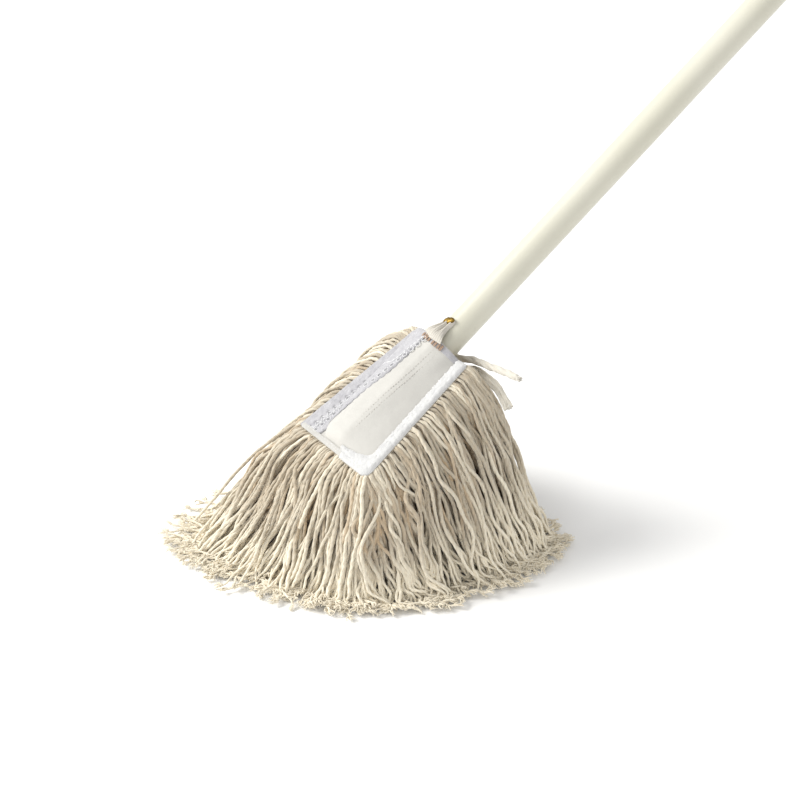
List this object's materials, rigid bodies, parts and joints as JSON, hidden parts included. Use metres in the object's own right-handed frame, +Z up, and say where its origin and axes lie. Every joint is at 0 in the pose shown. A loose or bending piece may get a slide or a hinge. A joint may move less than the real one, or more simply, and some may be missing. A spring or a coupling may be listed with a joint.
{
  "type": "string mop",
  "caption": "String mop: a canvas pocket fringed with cotton yarn, slipped over the end of a long painted round handle and hooked to a nail.",
  "frame": {"origin": "on the floor under the middle of the canvas pocket", "axes": "+Z up, the handle rises towards +Y, the pocket's front edge faces -Y, +X is its right side"},
  "size_m": [0.2864, 1.1395, 0.8177],
  "materials": {
    "painted_pole": "smooth cream paint, satin",
    "bare_wood": "planed, unpainted",
    "screw_steel": "zinc plated",
    "cap_plastic": "moulded, satin",
    "brass": "aged, softly polished",
    "canvas": "plain woven cotton",
    "hem_cotton": "doubled cotton, slightly fuzzy",
    "white_thread": "sewing thread",
    "brown_thread": "sewing thread",
    "webbing": "ribbed cotton tape",
    "tie_cotton": "soft, loosely twisted cotton",
    "yarn": "unbleached cotton yarn, twisted"
  },
  "bodies": {
    "mop_head": {"pocket_top": "canvas", "pocket_base": "canvas", "left_hem": "hem_cotton", "right_hem": "hem_cotton", "front_hem": "hem_cotton", "mouth_binding": "hem_cotton", "heading_tape": "hem_cotton", "edge_piping": "hem_cotton", "left_stitching": "white_thread", "right_stitching": "white_thread", "front_stitching": "white_thread", "crest_stitching": "white_thread", "bar_tack": "brown_thread", "tie_band": "webbing", "tie_knot": "tie_cotton", "tie_end_long": "tie_cotton", "tie_end_short": "tie_cotton", "yarn_left_outer": "yarn", "yarn_left_inner": "yarn", "yarn_front_outer": "yarn", "yarn_front_inner": "yarn", "yarn_right_outer": "yarn", "yarn_right_inner": "yarn", "yarn_back": "yarn", "yarn_under": "yarn"},
    "handle": {"handle_pole": "painted_pole", "handle_core": "bare_wood", "core_screws": "screw_steel", "handle_cap": "cap_plastic", "brass_nail": "brass"},
    "loop": {"hook_loop": "webbing"}
  },
  "joints": [
    {"name": "handle_pull", "type": "slide", "parent": "mop_head", "child": "handle", "axis": [0, 0.8192, 0.5736], "range_m": [0, 0.145], "deforming": ["hook_loop"]},
    {"name": "loop_lift", "type": "hinge", "parent": "mop_head", "child": "loop", "pos_m": [0, 0.04383, 0.19798], "axis": [1, 0, 0], "range_deg": [0, 110]}
  ]
}
